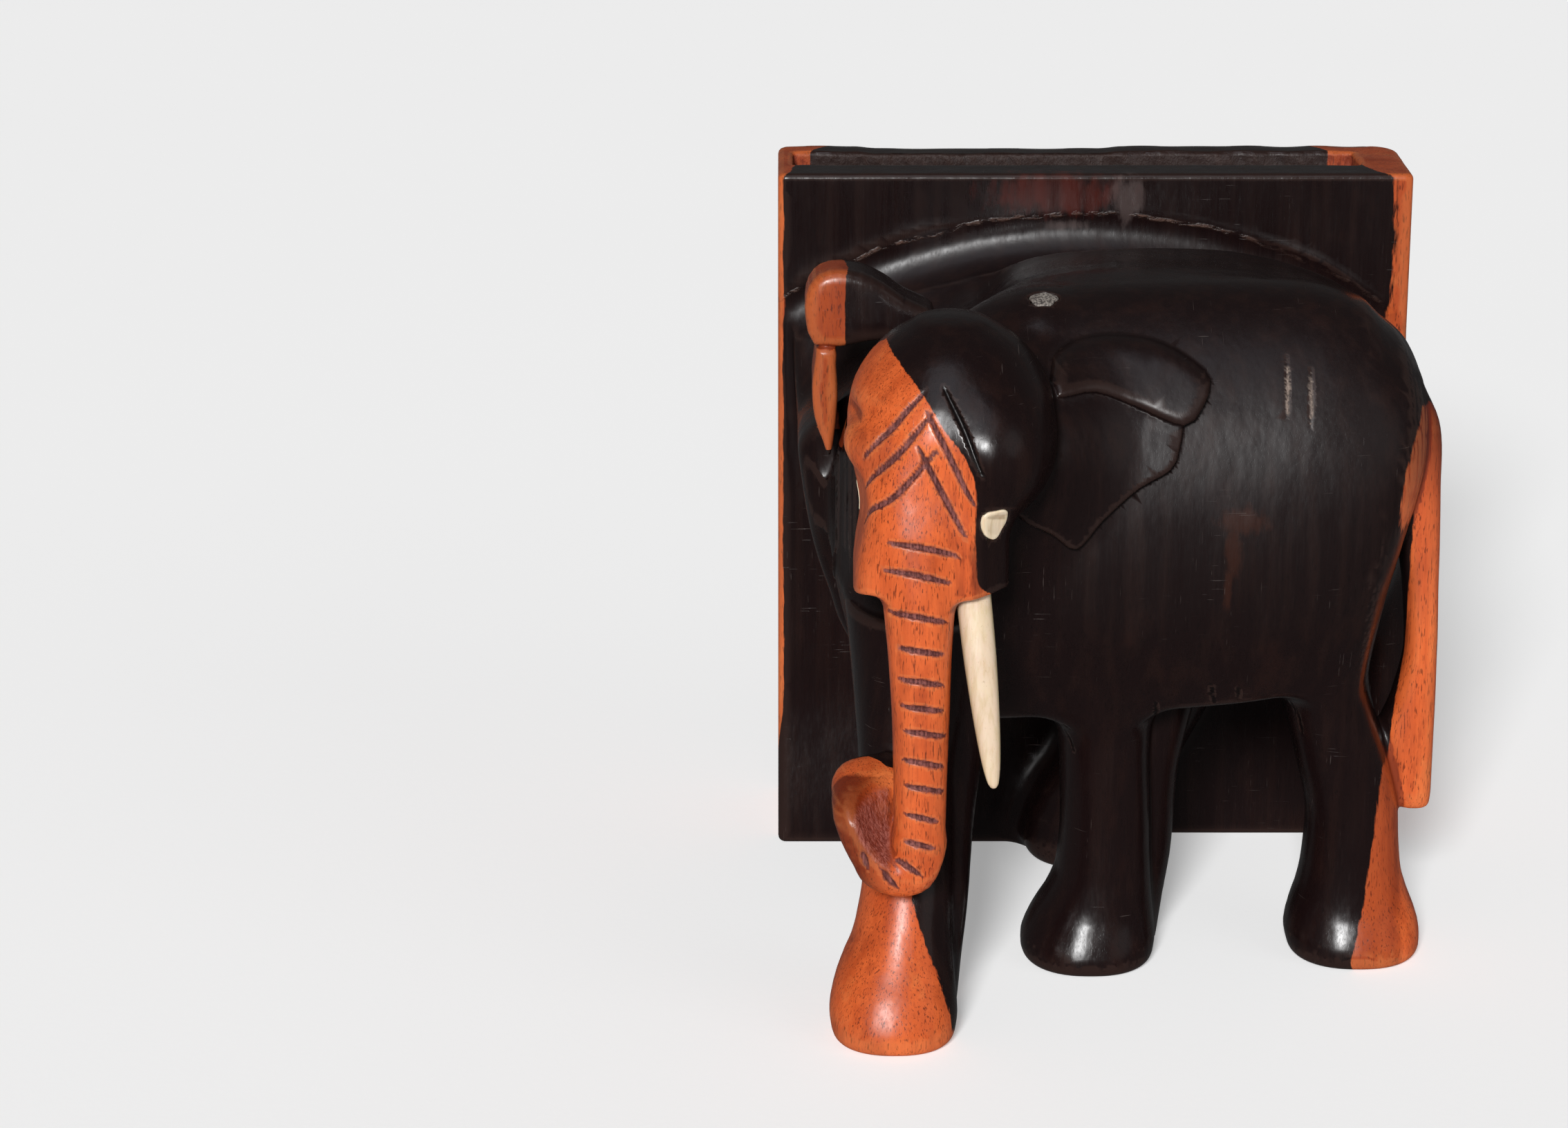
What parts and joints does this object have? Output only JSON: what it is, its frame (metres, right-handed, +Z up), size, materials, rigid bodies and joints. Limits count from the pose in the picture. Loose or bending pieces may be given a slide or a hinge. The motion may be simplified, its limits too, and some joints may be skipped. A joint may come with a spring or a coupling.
{
  "type": "elephant bookend",
  "caption": "Elephant walking out of an upright slab, carved as one bookend from two-tone ebony, with an inlaid bone tusk and eyes.",
  "frame": {"origin": "middle of the bounding box's floor, where the feet and the slab stand", "axes": "+Z up; +Y the way the slab's book face looks; the elephant's head is on the -X side and looks along -Y"},
  "size_m": [0.127, 0.142, 0.141],
  "materials": {
    "two_tone_ebony": "hand-polished dark heartwood with orange sapwood at the edges",
    "bone": "polished bone",
    "eye_bone": "polished bone",
    "filler": "sanded grey filler"
  },
  "bodies": {
    "root": {"carved_block": "two_tone_ebony", "tusk": "bone", "near_eye": "eye_bone", "far_eye": "eye_bone", "knot_filler": "filler"}
  },
  "joints": []
}
